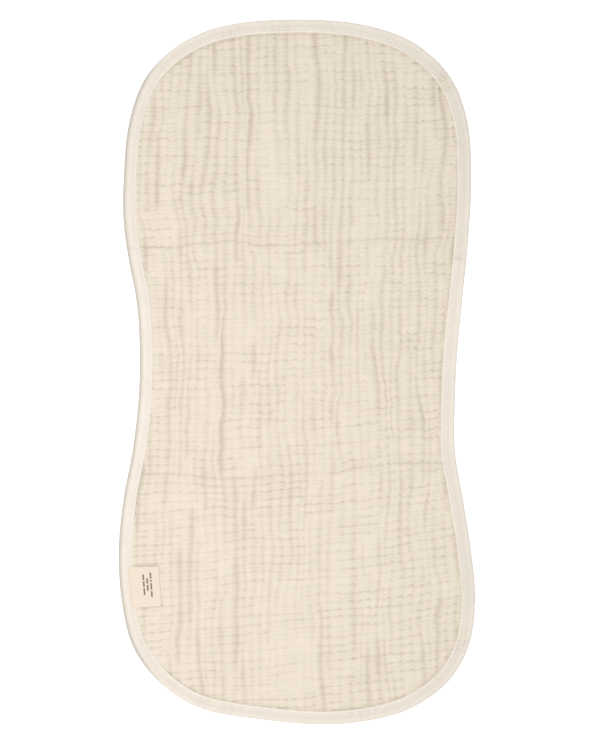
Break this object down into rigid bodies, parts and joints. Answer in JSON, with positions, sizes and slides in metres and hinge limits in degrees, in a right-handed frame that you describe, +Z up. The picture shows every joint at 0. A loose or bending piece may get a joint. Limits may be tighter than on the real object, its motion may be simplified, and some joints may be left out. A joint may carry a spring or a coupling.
{
  "type": "burp cloth",
  "caption": "Flat contoured burp cloth of crinkled double gauze, rounded at both ends and drawn in at the waist, edged with a folded binding and a small tape label.",
  "frame": {"origin": "centre of the bounding box in X and Y, on the underside", "axes": "+X across the cloth, +Y along it towards the end away from the label, +Z up from the surface it lies on"},
  "size_m": [0.2528, 0.5, 0.0052],
  "materials": {
    "double_gauze": "crinkled cotton double gauze, unbleached cream, matt",
    "bias_binding": "plain-woven cotton bias binding, cream, matt",
    "label_tape": "folded cotton tape, warm cream, matt"
  },
  "bodies": {
    "root": {"gauze_panel": "double_gauze", "binding": "bias_binding", "label": "label_tape"}
  },
  "joints": []
}
